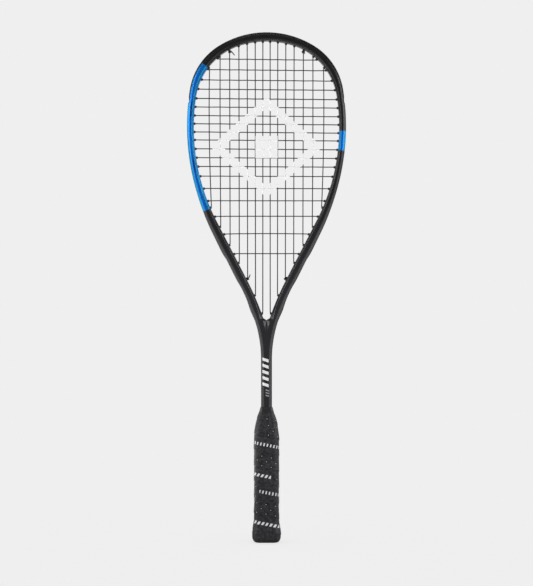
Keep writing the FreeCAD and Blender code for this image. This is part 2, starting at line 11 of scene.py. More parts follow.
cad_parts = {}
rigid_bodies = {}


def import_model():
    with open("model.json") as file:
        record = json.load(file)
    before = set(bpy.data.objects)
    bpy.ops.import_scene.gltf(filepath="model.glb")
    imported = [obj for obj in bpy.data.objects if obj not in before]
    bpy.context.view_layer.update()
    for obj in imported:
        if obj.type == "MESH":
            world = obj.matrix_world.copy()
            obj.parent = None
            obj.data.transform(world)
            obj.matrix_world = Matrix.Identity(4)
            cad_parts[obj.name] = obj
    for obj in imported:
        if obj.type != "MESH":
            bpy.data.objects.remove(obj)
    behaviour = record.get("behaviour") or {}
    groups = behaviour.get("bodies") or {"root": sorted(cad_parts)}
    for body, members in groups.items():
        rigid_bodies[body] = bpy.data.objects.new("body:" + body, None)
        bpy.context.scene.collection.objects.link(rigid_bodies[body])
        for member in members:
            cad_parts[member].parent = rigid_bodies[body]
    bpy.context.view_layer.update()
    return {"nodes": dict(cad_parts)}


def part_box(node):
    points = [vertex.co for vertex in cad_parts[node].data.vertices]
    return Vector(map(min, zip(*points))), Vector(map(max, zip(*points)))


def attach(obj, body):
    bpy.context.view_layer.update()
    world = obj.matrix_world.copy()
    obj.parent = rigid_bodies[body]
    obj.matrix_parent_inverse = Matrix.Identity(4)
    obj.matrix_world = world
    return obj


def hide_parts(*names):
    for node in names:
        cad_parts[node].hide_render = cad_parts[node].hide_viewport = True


# Lengths are in millimetres in the racket's own frame (+Z along it, front facing -Y) and become metres
# when a mesh is made.
MM = 0.001

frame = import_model()

# ---- dimensions shared with the CAD part

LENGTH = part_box("bumper_guard")[1].z / MM
HALF_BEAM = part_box("frame")[1].y / MM
SHAFT_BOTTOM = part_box("frame")[0].z / MM
GUARD_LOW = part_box("bumper_guard")[0].z / MM
STRIP_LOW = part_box("grommet_strip_left")[0].z / MM
GRIP_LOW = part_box("grip_tape")[0].z / MM
GRIP_HIGH = 181.0
SHAFT_HALF = 7.35
OUTER_ARCS = [(121.8, 31.8), (84.5, 49.2), (312.0, 36.0)]
THROAT_RADIUS = 187.0
INNER_TOP = 674.8
INNER_MOVES = [(120.5, 16.2), (86.1, 65.1), (275.3, 36.0), (None, 89.7), (-370.0, 8.6)]
WEB_TOP = 299.0
OUTER_CUT = 3.6
INNER_CUT = 2.7
CHANNEL_DEPTH = 3.0
CHANNEL_HALF = 2.6
GUARD_THICKNESS = 1.4
STRIP_THICKNESS = 0.8
BARREL_REACH = 2.2
LOW_BARREL_REACH = 1.7
BARREL_SIDES = 20
# A barrel's profile: distance from its tip into the frame, and radius.
BARREL_PROFILE = [
    (1.6, 0.62), (0.35, 0.72), (0.05, 0.86), (-0.05, 1.15), (0.05, 1.48), (0.35, 1.64),
    (1.35, 1.7), (1.75, 1.8), (2.1, 1.95), (2.3, 1.95), (9.0, 1.6),
]
# The slope that the front takes to the middle plane where the arms have run together.
VALLEY_SLOPE = 0.6
STRING_RADIUS = 0.72
STRING_INSET = 1.1
STRING_LANE = 0.58
TIE_LANE = 1.74
STRING_PULL = 0.4
MAIN_SWAY = 0.36
CROSS_SWAY = 1.12
TUBE_SIDES = 10
RING_STEP = 1.3
MIDDLE_HEIGHT = 560.0
# The right-hand ends of the crosses sit this much lower at the crown. The lowest crosses bow upwards and
# the outermost mains bow outwards.
CROSS_DROP = 1.6
LOW_CROSS_BOWS = [0.1, 0.5, 0.0]
MAIN_BOWS = [1.5, 0.4]
# How far the arms swell past the plain outline, from the widest part of the hoop to the throat.
ARM_SWELL = [
    (470.0, 0.0), (446.0, 0.35), (419.0, 1.1), (393.0, 1.65), (387.0, 1.5), (380.0, 0.5),
    (366.0, 0.75), (352.0, 0.75), (344.0, 0.1), (338.0, 0.0), (331.0, 0.4), (325.0, 0.85),
    (318.0, 1.7), (312.0, 2.1), (305.0, 1.5), (298.0, 0.65), (285.0, 0.3), (265.0, 0.0),
]
MAIN_OFFSETS = [4.9, 15.2, 26.0, 37.2, 49.7, 62.5, 76.8]
MAIN_LOWER_OFFSETS = [5.0, 14.8, 25.4, 36.6, 49.0, 61.6, 74.2]
CROSS_HEIGHTS = [
    650.7, 636.4, 622.5, 610.1, 597.5, 586.1, 574.5, 563.5, 552.4, 541.7,
    529.7, 517.8, 505.9, 492.9, 476.3, 459.7, 438.7, 414.9, 388.4,
]
# The knots: where the coil is, which way it runs and where its free end is.
KNOTS = [
    ((-49.5, -0.6, 660.3), (0.15, 0, 1), (-42.6, -2.2, 655.2)),
    ((49.5, -0.6, 660.2), (-0.5, 0, 1), (51.6, -2.4, 657.0)),
    ((-25.5, -0.6, 354.6), (0.2, 0, 1), (-21.8, -2.0, 360.4)),
    ((25.5, -0.6, 354.6), (-0.9, 0, 1), (29.0, -2.0, 356.5)),
]
# The wound tape: the length of a turn, the rise of a turn, where a turn starts and the step at its edge.
PERIMETER = 112.5
WRAP_PITCH = 21.3
WRAP_CENTRE = 25.1
WRAP_EDGE = 0.55
# Height, half width, half depth and corner radius of the wrapped grip.
GRIP_PROFILE = [
    (4.0, 18.9, 16.4, 8.5), (10.8, 19.6, 17.1, 9.0), (16.0, 19.3, 16.8, 9.0), (21.5, 18.2, 15.7, 8.5),
    (27.0, 17.25, 14.75, 8.0), (32.0, 17.05, 14.5, 8.0), (142.0, 17.05, 14.5, 8.0), (153.3, 15.8, 13.9, 7.6),
    (161.4, 14.4, 13.4, 7.0), (169.4, 12.3, 12.7, 6.0), (175.5, 9.6, 12.0, 4.4), (181.0, 7.75, 10.5, 3.2),
]

# Painted bands: heights on the hoop's outside where the blue starts and ends.
BLUE_LEFT = (645.5, 444.6)
BLUE_RIGHT = (553.0, 526.4)


# ---- mesh helpers

def add_object(name, data):
    item = bpy.data.objects.new(name, data)
    bpy.context.scene.collection.objects.link(item)
    return item


def unit(vector):
    return vector / norm(vector)


def run_points(start, end, count):
    """Evenly spaced points after start, up to end."""
    return [start + (end - start) * (step + 1) / count for step in range(count)]


def direction(degrees):
    return np.array([math.cos(math.radians(degrees)), math.sin(math.radians(degrees))])


def softened(first, corner, last, samples):
    """Points of a curve from first to last that bends towards a corner."""
    shares = np.linspace(0, 1, samples + 1)[:, None]
    return list((1 - shares) ** 2 * first + 2 * shares * (1 - shares) * corner + shares ** 2 * last)


def smooth_step(low, high, value):
    share = np.clip((value - low) / (high - low), 0, 1)
    return share * share * (3 - 2 * share)


def make_object(name, vertices, faces, attributes=None, weld=None):
    """A mesh object in metres; attributes are one number per vertex."""
    mesh = bpy.data.meshes.new(name)
    mesh.from_pydata((np.asarray(vertices, float) * MM).tolist(), [], faces)
    for key, values in (attributes or {}).items():
        layer = mesh.attributes.new(key, "FLOAT", "POINT")
        layer.data.foreach_set("value", np.asarray(values, np.float32))
    if weld is not None:
        shape = bmesh.new()
        shape.from_mesh(mesh)
        bmesh.ops.remove_doubles(shape, verts=shape.verts, dist=weld * MM)
        bmesh.ops.dissolve_degenerate(shape, edges=shape.edges, dist=weld * MM)
        bmesh.ops.recalc_face_normals(shape, faces=shape.faces)
        shape.to_mesh(mesh)
        shape.free()
    mesh.shade_smooth()
    return add_object(name, mesh)


def grid_faces(rows, columns, first=0):
    """Quads of a grid whose last column joins the first; first is the grid's first vertex."""
    faces = []
    for row in range(rows - 1):
        low = first + row * columns
        high = low + columns
        for column in range(columns):
            after = (column + 1) % columns
            faces.append((low + column, low + after, high + after, high + column))
    return faces


def closed_tube(rings, columns):
    """Faces of a wrapped grid whose first and last rings are closed."""
    last = (rings - 1) * columns
    caps = [tuple(reversed(range(columns))), tuple(range(last, last + columns))]
    return grid_faces(rings, columns) + caps


def sharpen(item, degrees):
    """Keeps edges sharper than an angle crisp under smooth shading."""
    shape = bmesh.new()
    shape.from_mesh(item.data)
    limit = math.radians(degrees)
    for edge in shape.edges:
        if len(edge.link_faces) == 2 and edge.calc_face_angle(0) > limit:
            edge.smooth = False
    shape.to_mesh(item.data)
    shape.free()


def finish_piece(item, material, node, crease=None):
    """Gives a piece its material and its body and hides the CAD node that it stands for."""
    if crease:
        sharpen(item, crease)
    item.data.materials.clear()
    item.data.materials.append(material)
    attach(item, "root")
    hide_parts(node)


# ---- outlines

class Outline:
    """One side of a chain of tangent arcs in the string plane, sampled finely enough to interpolate."""

    STEP = 0.5

    def __init__(self, start, moves, end=None):
        points = [np.array(start, float)]
        heading = 0.0
        for radius, amount in moves:
            here = points[-1]
            if radius is None:
                end_of_run = here + direction(heading) * amount
                points += run_points(here, end_of_run, max(2, int(amount / self.STEP)))
                continue
            side = 1 if radius > 0 else -1
            centre = here + abs(radius) * direction(heading - 90 * side)
            steps = max(2, int(math.radians(amount) * abs(radius) / self.STEP))
            for step in range(steps):
                turn = heading - side * (amount * (step + 1) / steps + 90)
                points.append(centre - abs(radius) * direction(turn))
            heading -= side * amount
        if end is not None:
            run = norm(np.array(end) - points[-1])
            points += run_points(points[-1], np.array(end), max(2, int(run / self.STEP)))
        self.points = np.array(points)
        runs = norm(np.diff(self.points, axis=0), axis=1)
        self.marks = np.concatenate([[0], np.cumsum(runs)])
        self.length = self.marks[-1]

    def at(self, mark):
        return np.array([np.interp(mark, self.marks, self.points[:, axis]) for axis in (0, 1)])

    def nearest_mark(self, point):
        runs = np.diff(self.points, axis=0)
        offsets = point - self.points[:-1]
        shares = np.clip((offsets * runs).sum(1) / (runs ** 2).sum(1), 0, 1)
        nearest = int(np.argmin(norm(offsets - runs * shares[:, None], axis=1)))
        return self.marks[nearest] + shares[nearest] * norm(runs[nearest])

    def mark_at_height(self, height):
        """The mark where the outline, which only falls after its crown, passes a height."""
        return float(np.interp(-height, -self.points[:, 1], self.marks))

    def outward(self, mark):
        step = self.at(min(mark + 0.6, self.length)) - self.at(max(mark - 0.6, 0))
        return unit(np.array([-step[1], step[0]]))

    def crossing(self, start, way):
        """Where a ray from inside first meets the outline."""
        offset = self.points - start
        side = way[0] * offset[:, 1] - way[1] * offset[:, 0]
        along = offset @ way
        reaches = []
        for index in np.nonzero(side[:-1] * side[1:] <= 0)[0]:
            share = side[index] / (side[index] - side[index + 1] + 1e-12)
            reaches.append(along[index] + (along[index + 1] - along[index]) * share)
        return start + way * min(reach for reach in reaches if reach > -0.01)


def silhouette(inset=0.0):
    """The hoop's outside; the arm's straight is worked out so that the arms end as the shaft."""
    arcs = [(radius - inset, sweep) for radius, sweep in OUTER_ARCS]
    bend = sum(sweep for _, sweep in OUTER_ARCS) - 90
    start = (0.0, LENGTH - inset)
    arm_top = Outline(start, arcs).points[-1][0]
    throat_radius = THROAT_RADIUS + inset
    throat_width = throat_radius * (1 - math.cos(math.radians(bend)))
    straight = (arm_top - throat_width - (SHAFT_HALF - inset)) / math.sin(math.radians(bend))
    moves = arcs + [(None, straight), (-throat_radius, bend)]
    end = Outline(start, moves).points[-1]
    return Outline(start, moves, (end[0], SHAFT_BOTTOM))


def inner_edge(offset=0.0):
    """The edge of the string area; a positive offset goes into the frame."""
    moves = [(radius and radius + offset, amount) for radius, amount in INNER_MOVES]
    return Outline((0.0, INNER_TOP + offset), moves)


OUTSIDE = silhouette()
INSIDE = inner_edge()


# ---- string holes

def string_hole(start, way, tips):
    """The barrel's tip, the groove point and the hole's direction for a string that runs along way."""
    tip = tips.crossing(np.array(start, float), np.array(way, float))
    mark = string_line.nearest_mark(tip)
    heading = unit(unit(string_line.at(mark) - tip) + np.array(way, float) * STRING_PULL)
    return tip, string_line.crossing(tip, heading), heading


def cross_drop(level):
    return CROSS_DROP * float(smooth_step(440, 560, level))


string_line = silhouette(STRING_INSET)
tips = inner_edge(-BARREL_REACH)
low_tips = inner_edge(-LOW_BARREL_REACH)
top_holes = [string_hole((offset, MIDDLE_HEIGHT), (0, 1), tips) for offset in MAIN_OFFSETS]
bottom_holes = [string_hole((offset, MIDDLE_HEIGHT), (0, -1), low_tips) for offset in MAIN_LOWER_OFFSETS]
left_cross_holes = [string_hole((0, level), (1, 0), tips) for level in CROSS_HEIGHTS]
right_cross_holes = [string_hole((0, level - cross_drop(level)), (1, 0), tips) for level in CROSS_HEIGHTS]

# ---- frame: hoop, arms, throat and shaft

def rounded_corners(corners, samples=4):
    """Points round a closed polygon whose corners (d, y, radius) are softened."""
    points = []
    count = len(corners)
    for index, (along, across, radius) in enumerate(corners):
        here = np.array([along, across])
        before = np.array(corners[index - 1][:2]) - here
        after = np.array(corners[(index + 1) % count][:2]) - here
        reach_before = min(radius, 0.48 * norm(before))
        reach_after = min(radius, 0.48 * norm(after))
        first = here + before / (norm(before) + 1e-9) * reach_before
        last = here + after / (norm(after) + 1e-9) * reach_after
        points += softened(first, here, last, samples)
    return np.array(points)


def mirrored(half):
    """The corners (d, y, radius) of a section's front half and of its back half."""
    return half + [(along, -across, radius) for along, across, radius in reversed(half)]


def frame_section(width, channel, seat, outer_cut, inner_cut):
    """The tube's section: d runs from the outside (0) to the string area (width), y from front to back."""
    front = -HALF_BEAM
    outer_drop = outer_cut * 0.6
    inner_drop = min(inner_cut * 1.2, 3.3)
    middle = (outer_cut + width - inner_cut) / 2
    crown = 0.2
    half = [
        (channel, -CHANNEL_HALF, 0.25), (seat, -CHANNEL_HALF, 0.3), (seat, front + outer_drop, 1.4),
        (outer_cut, front, 1.5), (middle, front + crown, 1.2), (width - inner_cut, front, 1.7),
        (width - inner_cut * 0.5, front + inner_drop * 0.5, 0.4),
        (width - inner_cut * 0.25, front + inner_drop * 0.75, 0.3),
        (width, front + inner_drop, 1.2),
    ]
    return rounded_corners(mirrored(half))


def clip_section(points, limit, soft):
    """Folds what lies beyond the middle plane back on to it and levels the last stretch before it."""
    half = points[:len(points) // 2].copy()
    for index in range(len(half) // 3, len(half)):
        if half[index, 0] > limit:
            share = (limit - half[index - 1, 0]) / (half[index, 0] - half[index - 1, 0])
            half[index:, 1] = half[index - 1, 1] + (half[index, 1] - half[index - 1, 1]) * share
            half[index:, 0] = limit
            break
    if soft > 0:
        over = np.clip(half[:, 0] - (limit - soft), 0, soft)
        over[:len(half) // 3] = 0
        half[:, 1] -= VALLEY_SLOPE * over ** 2 / (2 * soft)
    back = half[::-1].copy()
    back[:, 1] *= -1
    return np.concatenate([half, back])


def frame_stations():
    """Pairs of an outside point and an inside point down one side, with how far the section runs past."""
    stations = []
    hoop_steps = 330
    for step in range(hoop_steps):
        mark = INSIDE.length * step / (hoop_steps - 1)
        inside = INSIDE.at(mark)
        outside = OUTSIDE.at(OUTSIDE.nearest_mark(inside)) if step else np.array([0.0, LENGTH])
        stations.append((outside, inside, 0.0, mark))
    outer_end, inner_end = stations[-1][:2]
    web_steps = 5
    web_run = 6.0
    outer_run = 5.0
    merge_drop = 26.0
    first_mark = OUTSIDE.nearest_mark(outer_end)
    for step in range(1, web_steps + 1):
        share = step / web_steps
        inside = inner_end + (np.array([0.0, WEB_TOP]) - inner_end) * share
        outside = OUTSIDE.at(first_mark + outer_run * share)
        stations.append((outside, inside, 0.0, INSIDE.length + web_run * share))
    drop = WEB_TOP - stations[-1][0][1]
    shaft_steps = 150
    for step in range(1, shaft_steps + 1):
        share = step / shaft_steps
        height = WEB_TOP + (SHAFT_BOTTOM - WEB_TOP) * (0.35 * share + 0.65 * share ** 2)
        outside_height = height - drop * smooth_step(235, WEB_TOP, height)
        outside = OUTSIDE.at(OUTSIDE.mark_at_height(outside_height))
        overrun = web_run * float(np.clip((WEB_TOP - height) / merge_drop, 0, 1))
        mark = INSIDE.length + web_run + WEB_TOP - height
        stations.append((outside, np.array([0.0, height]), overrun, mark))
    return stations, hoop_steps + web_steps


def arm_swell(height):
    """The swell of the arms at a height, with its steps softened."""
    levels, amounts = zip(*reversed(ARM_SWELL))
    samples = [np.interp(height + offset, levels, amounts) for offset in (-2.5, -1.2, 0, 1.2, 2.5)]
    return float(np.mean(samples))


def make_frame_mesh():
    stations, merged_from = frame_stations()
    vertices = []
    along = []
    across = []
    for outside, inside, overrun, mark in stations:
        height = outside[1]
        swell = arm_swell(height)
        outside = outside + OUTSIDE.outward(OUTSIDE.mark_at_height(height)) * swell
        width = norm(outside - inside)
        channel = (CHANNEL_DEPTH + swell) * (1 - smooth_step(STRIP_LOW + 6, STRIP_LOW - 6, height)) + 0.02
        seat = GUARD_THICKNESS * smooth_step(GUARD_LOW - 1.5, GUARD_LOW + 0.5, height)
        channel = max(channel, seat + 0.02)
        outer_cut = OUTER_CUT + 0.5 * smooth_step(330, 262, height) + 0.6 * swell
        inner_cut = INNER_CUT + 2.2 * smooth_step(318, WEB_TOP, inside[1])
        section = frame_section(width + overrun, channel, seat, outer_cut, inner_cut)
        if overrun > 0:
            section = clip_section(section, width, min(3.0, 2 * overrun, inner_cut - overrun))
        way = (inside - outside) / width
        for depth, lateral in section:
            point = outside + way * depth
            vertices.append((max(point[0], 0.0), lateral, point[1]))
            along.append(mark)
            across.append(depth / width)
    columns = len(vertices) // len(stations)
    faces = []
    for quad in grid_faces(len(stations), columns):
        on_plane = all(vertices[corner][0] < 1e-4 for corner in quad)
        if quad[0] // columns < merged_from - 1 or not on_plane:
            faces.append(quad)
    last = (len(stations) - 1) * columns
    faces.append(tuple(range(last, last + columns)))
    count = len(vertices)
    left = [(-x, y, z) for x, y, z in vertices]
    left_faces = [tuple(count + corner for corner in reversed(face)) for face in faces]
    sides = {"along": along + along, "across": across + across}
    return make_object("frame_shell", vertices + left, faces + left_faces, sides, weld=0.004)


# ---- sweeps along the outside of the hoop

def ribbon(name, section_at, marks, side):
    """A closed section swept along the outside; section_at gives (inset, y) points for each mark."""
    vertices = []
    for mark in marks:
        base = OUTSIDE.at(abs(mark))
        outward = OUTSIDE.outward(abs(mark)) if abs(mark) > 1e-6 else np.array([0.0, 1.0])
        sign = side or (1 if mark >= 0 else -1)
        for inset, lateral in section_at(mark):
            point = base - outward * inset
            vertices.append((sign * point[0], lateral, point[1]))
    faces = closed_tube(len(marks), len(vertices) // len(marks))
    return make_object(name, vertices, faces, weld=0.0005)


def barrel_rings(start, heading):
    """The rings of one barrel, turned round the line from start along heading."""
    axis = np.array([heading[0], 0.0, heading[1]])
    sideways = np.array([-heading[1], 0.0, heading[0]])
    rings = []
    for distance, radius in BARREL_PROFILE:
        for segment in range(BARREL_SIDES):
            angle = 2 * math.pi * segment / BARREL_SIDES
            offset = sideways * math.cos(angle) * radius + np.array([0, 1.0, 0]) * math.sin(angle) * radius
            rings.append(np.array([start[0], 0.0, start[1]]) + axis * distance + offset)
    return rings


def add_barrels(item, holes, side):
    """Joins the barrels of one strip to it: a lipped tube end that stands out of the hoop's inside."""
    vertices = []
    faces = []
    for tip, _, heading in holes:
        first = len(vertices)
        start = np.array([side * tip[0], tip[1]])
        way = np.array([side * heading[0], heading[1]])
        vertices += barrel_rings(start, way)
        faces += grid_faces(len(BARREL_PROFILE), BARREL_SIDES, first)
        faces.append(tuple(range(first, first + BARREL_SIDES)))
    join_into(item, [make_object(item.name + "_barrels", vertices, faces)])


def join_into(target, others):
    shape = bmesh.new()
    shape.from_mesh(target.data)
    for other in others:
        shape.from_mesh(other.data)
        bpy.data.objects.remove(other)
    bmesh.ops.recalc_face_normals(shape, faces=shape.faces)
    shape.to_mesh(target.data)
    shape.free()
    target.data.shade_smooth()


def make_guard():
    end_mark = OUTSIDE.mark_at_height(GUARD_LOW)
    marks = np.linspace(-end_mark, end_mark, 241)

    def section_at(mark):
        sunk = 0.9 * GUARD_THICKNESS * smooth_step(end_mark - 9, end_mark, abs(mark))
        points = rounded_corners(mirrored([
            (2.95, -2.5, 0.2), (GUARD_THICKNESS, -8.0, 0.3), (0.75, -7.9, 0.5), (0.0, -6.7, 1.0),
            (0.0, -3.2, 0.6), (2.2, -2.35, 0.5),
        ]), 3)
        points[:, 0] = np.maximum(points[:, 0], sunk)
        return points

    guard = ribbon("bumper_guard_shell", section_at, marks, 0)
    for side, crosses in ((1, right_cross_holes), (-1, left_cross_holes)):
        add_barrels(guard, top_holes + [hole for hole in crosses if hole[0][1] > GUARD_LOW], side)
    return guard


def make_strip(side, label):
    marks = np.linspace(OUTSIDE.mark_at_height(GUARD_LOW - 2), OUTSIDE.mark_at_height(STRIP_LOW + 1), 180)
    top = CHANNEL_DEPTH - STRIP_THICKNESS

    def section_at(_):
        corners = [(CHANNEL_DEPTH, -2.5, 0.2), (top - 0.5, -2.5, 0.25), (top, -1.9, 0.3)]
        return rounded_corners(mirrored(corners), 2)

    strip = ribbon(label, section_at, marks, side)
    crosses = right_cross_holes if side > 0 else left_cross_holes
    add_barrels(strip, bottom_holes + [hole for hole in crosses if hole[0][1] < GUARD_LOW], side)
    return strip


# ---- strings

def string_mesh(name, path):
    """A round string along a finely sampled path with rounded ends."""
    path = np.asarray(path, float)
    ways = np.gradient(path, axis=0)
    ways /= norm(ways, axis=1)[:, None]
    normal = np.cross(ways[0], [0, 1, 0])
    if norm(normal) < 0.1:
        normal = np.cross(ways[0], [1, 0, 0])
    vertices = []
    travelled = []
    total = 0.0
    last = len(path) - 1
    for index, (point, way) in enumerate(zip(path, ways)):
        normal = unit(normal - way * np.dot(normal, way))
        binormal = np.cross(way, normal)
        total += norm(point - path[max(index - 1, 0)])
        size = STRING_RADIUS * (0.6 if index in (0, last) else 1.0)
        for side in range(TUBE_SIDES):
            angle = 2 * math.pi * side / TUBE_SIDES
            vertices.append(point + (normal * math.cos(angle) + binormal * math.sin(angle)) * size)
            travelled.append(total)
    return make_object(name, vertices, closed_tube(len(path), TUBE_SIDES), {"travelled": travelled})


def round_path(points, radii):
    """Samples straight runs and softened corners of a route of 3D points."""
    path = [np.array(points[0], float)]
    for index in range(1, len(points) - 1):
        here = np.array(points[index], float)
        before = np.array(points[index - 1], float) - here
        after = np.array(points[index + 1], float) - here
        reach = min(radii[index], 0.45 * norm(before), 0.45 * norm(after))
        first = here + before / norm(before) * reach
        last = here + after / norm(after) * reach
        extend_straight(path, first)
        path += softened(first, here, last, 5)[1:]
    extend_straight(path, np.array(points[-1], float))
    return np.array(path)


def extend_straight(path, end):
    length = norm(end - path[-1])
    if length >= 0.05:
        path += run_points(path[-1], end, max(1, math.ceil(length / RING_STEP)))


def place(point, lane, side=1):
    return np.array([side * point[0], lane, point[1]])


def both_sides(holes):
    left = [((-tip[0], tip[1]), (-groove[0], groove[1])) for tip, groove, _ in reversed(holes)]
    return left + [(tuple(tip), tuple(groove)) for tip, groove, _ in holes]


main_tops = both_sides(top_holes)
main_bottoms = both_sides(bottom_holes)


def groove_run(start, end, lane):
    """Points that keep a long stretch of string on the groove's line."""
    side = 1 if start[0] > 0 else -1
    if start[0] * end[0] < 0:
        return []
    first = string_line.nearest_mark(np.array([abs(start[0]), start[2]]))
    last = string_line.nearest_mark(np.array([abs(end[0]), end[2]]))
    steps = 1 + int(abs(last - first) / 9)
    marks = [first + (last - first) * step / steps for step in range(1, steps)]
    return [place(string_line.at(mark), lane, side) for mark in marks]


def main_line(index, height):
    """How far from the middle the main of that index, counted from the left, is at a height."""
    top = main_tops[index][0]
    bottom = main_bottoms[index][0]
    share = (height - bottom[1]) / (top[1] - bottom[1])
    from_edge = min(index, 2 * len(MAIN_OFFSETS) - 1 - index)
    bow = MAIN_BOWS[from_edge] * 4 * share * (1 - share) if from_edge < len(MAIN_BOWS) else 0.0
    return bottom[0] + (top[0] - bottom[0]) * share + math.copysign(bow, top[0])


def cross_height(index, offset):
    """The height of a cross at a distance from the middle; it slopes a little and the lowest ones bow."""
    left, right = left_cross_holes[index][0], right_cross_holes[index][0]
    share = (offset + left[0]) / (left[0] + right[0])
    from_lowest = index - len(CROSS_HEIGHTS) + len(LOW_CROSS_BOWS)
    bow = LOW_CROSS_BOWS[from_lowest] * (1 - (offset / left[0]) ** 2) if from_lowest >= 0 else 0.0
    return left[1] + (right[1] - left[1]) * share + bow


def weave_point(main, cross, sway):
    """Where a main and a cross meet, with the string swayed to the side that it passes on."""
    height = cross_height(cross, main_line(main, CROSS_HEIGHTS[cross]))
    return np.array([main_line(main, height), sway if (main + cross) % 2 else -sway, height])


def tie_off(name, route, radii, groove, lane):
    """Leads a string along the channel to its last hole and makes its mesh."""
    end = place(groove, lane)
    run = groove_run(route[-1], end, lane)
    return string_mesh(name, round_path(route + run + [end], radii + [4.0] * len(run) + [2.0]))


def make_main_string():
    route = [place(main_bottoms[4][1], -TIE_LANE)]
    radii = [2.0]
    for index, (top, bottom) in enumerate(zip(main_tops, main_bottoms)):
        climb = index % 2 == 0
        first, last = (bottom, top) if climb else (top, bottom)
        groove_lane = -TIE_LANE if index == 0 else -STRING_LANE
        run = groove_run(route[-1], place(first[1], -STRING_LANE), groove_lane)
        crossings = [weave_point(index, cross, -MAIN_SWAY) for cross, level in enumerate(CROSS_HEIGHTS)
                     if bottom[0][1] + 1.5 < level < top[0][1] - 1.5]
        if climb:
            crossings.reverse()
        route += run + [place(first[1], -STRING_LANE), place(first[0], 0)] + crossings
        route += [place(last[0], 0), place(last[1], -STRING_LANE)]
        radii += [4.0] * len(run) + [0.9, 1.6] + [3.0] * len(crossings) + [1.6, 0.9]
    return tie_off("main_string_line", route, radii, main_bottoms[9][1], -TIE_LANE)


def make_cross_string():
    route = [place(top_holes[4][1], TIE_LANE, -1)]
    radii = [2.0]
    for index, level in enumerate(CROSS_HEIGHTS):
        left, right = left_cross_holes[index], right_cross_holes[index]
        crossings = [weave_point(main, index, CROSS_SWAY)
                     for main, (top, bottom) in enumerate(zip(main_tops, main_bottoms))
                     if bottom[0][1] < level < top[0][1]]
        points = [place(left[1], STRING_LANE, -1), place(left[0], 0, -1)] + crossings
        points += [place(right[0], 0), place(right[1], STRING_LANE)]
        if index % 2:
            points.reverse()
        run = groove_run(route[-1], points[0], STRING_LANE if index else TIE_LANE)
        route += run + points
        radii += [4.0] * len(run) + [0.9, 1.6] + [4.2] * len(crossings) + [1.6, 0.9]
    return tie_off("cross_string_line", route, radii, bottom_holes[2][1], TIE_LANE)


def knot_path(anchor, along, tail):
    """A hitch: a coil of turns about the point anchor, then a free tail that ends at the point tail."""
    turns = 2.4
    coil_height = 2.6
    along = unit(np.array(along, float))
    across = unit(np.cross(along, [0, 1, 0]))
    shares = np.linspace(0, 1, 45)[:, None]
    angles = 2 * math.pi * turns * shares
    radii = 2.05 * STRING_RADIUS * (1 + 0.12 * np.sin(angles * 0.5))
    turned = across * np.cos(angles) + np.array([0, -1.0, 0]) * np.sin(angles)
    points = list(np.array(anchor) + along * (shares - 0.5) * coil_height + turned * radii)
    ends = [points[-1] + (np.array(tail) - points[-1]) * share for share in (0.35, 0.7, 1.0)]
    ends[0] += np.array([0, -0.5, 0])
    return np.array(points + ends)


def make_knots():
    coils, *others = [string_mesh("knot_%d" % number, knot_path(*knot)) for number, knot in enumerate(KNOTS)]
    coils.name = "knot_coils"
    join_into(coils, others)
    return coils


# ---- handle

def rounded_rectangle(half_width, half_depth, corner, count):
    """Evenly spaced points round a rounded rectangle from the front's middle towards +X, with normals."""
    flat_x = half_width - corner
    flat_y = half_depth - corner
    quarter = corner * math.pi / 2
    centres = [(flat_x, -flat_y), (flat_x, flat_y), (-flat_x, flat_y), (-flat_x, -flat_y)]
    flats = [2 * flat_x, 2 * flat_y] * 2
    total = sum(flats) + 4 * quarter
    points = []
    for index in range(count):
        rest = (total * index / count + flat_x) % total
        side = 0
        while rest > flats[side] + quarter:
            rest -= flats[side] + quarter
            side += 1
        past = rest - flats[side]
        turn = math.pi / 2 * (side - 1)
        angle = turn + max(past, 0) / corner
        before = min(past, 0)
        x = centres[side][0] + corner * math.cos(angle) - before * math.sin(turn)
        y = centres[side][1] + corner * math.sin(angle) + before * math.cos(turn)
        points.append((x, y, math.cos(angle), math.sin(angle)))
    return points


def grip_size(height):
    """Half width, half depth and corner radius of the wrapped grip at a height."""
    heights, *columns = zip(*GRIP_PROFILE)
    return [float(np.interp(height, heights, column)) for column in columns]


def smooth_grip_size(height):
    """The same, averaged over a short stretch so that the profile has no corners."""
    reach = 3.0
    offsets = (-1.0, -0.5, 0.0, 0.5, 1.0)
    rows = [grip_size(min(max(height + reach * offset, GRIP_LOW), GRIP_HIGH)) for offset in offsets]
    return np.array(rows).mean(0)


def make_grip():
    """The wound tape: its overlaps run round the handle as a low step that falls off up each turn."""
    around = 168
    levels = 330
    vertices = []
    for height in np.linspace(GRIP_LOW, GRIP_HIGH, levels):
        ring = rounded_rectangle(*smooth_grip_size(height), around)
        fade = smooth_step(GRIP_LOW, GRIP_LOW + 3.5, height) * smooth_step(GRIP_HIGH, GRIP_HIGH - 8, height)
        for index, (x, y, normal_x, normal_y) in enumerate(ring):
            share = index / around
            if share > 0.5:
                share -= 1
            within = ((height - WRAP_CENTRE) / WRAP_PITCH + share + 0.5) % 1
            step = WRAP_EDGE * (1 - within) ** 2.0 * smooth_step(0.0, 0.035, within)
            wave = 0.09 * math.sin(share * 34 + height * 0.55) * math.sin(height * 0.31 + share * 11)
            lift = fade * (step - 0.45 * WRAP_EDGE + wave)
            if height < GRIP_LOW + 3.0:
                lift -= 0.9 * (1 - smooth_step(GRIP_LOW, GRIP_LOW + 3.0, height)) ** 2
            vertices.append((x + normal_x * lift, y + normal_y * lift, height))
    return make_object("grip_wrap", vertices, closed_tube(levels, around))


def make_sleeve(name, rows):
    """A closed shell through rounded rectangles: rows of height, half width, half depth and corner."""
    around = 96
    vertices = [(x, y, height) for height, *size in rows for x, y, *_ in rounded_rectangle(*size, around)]
    return make_object(name, vertices, closed_tube(len(rows), around))


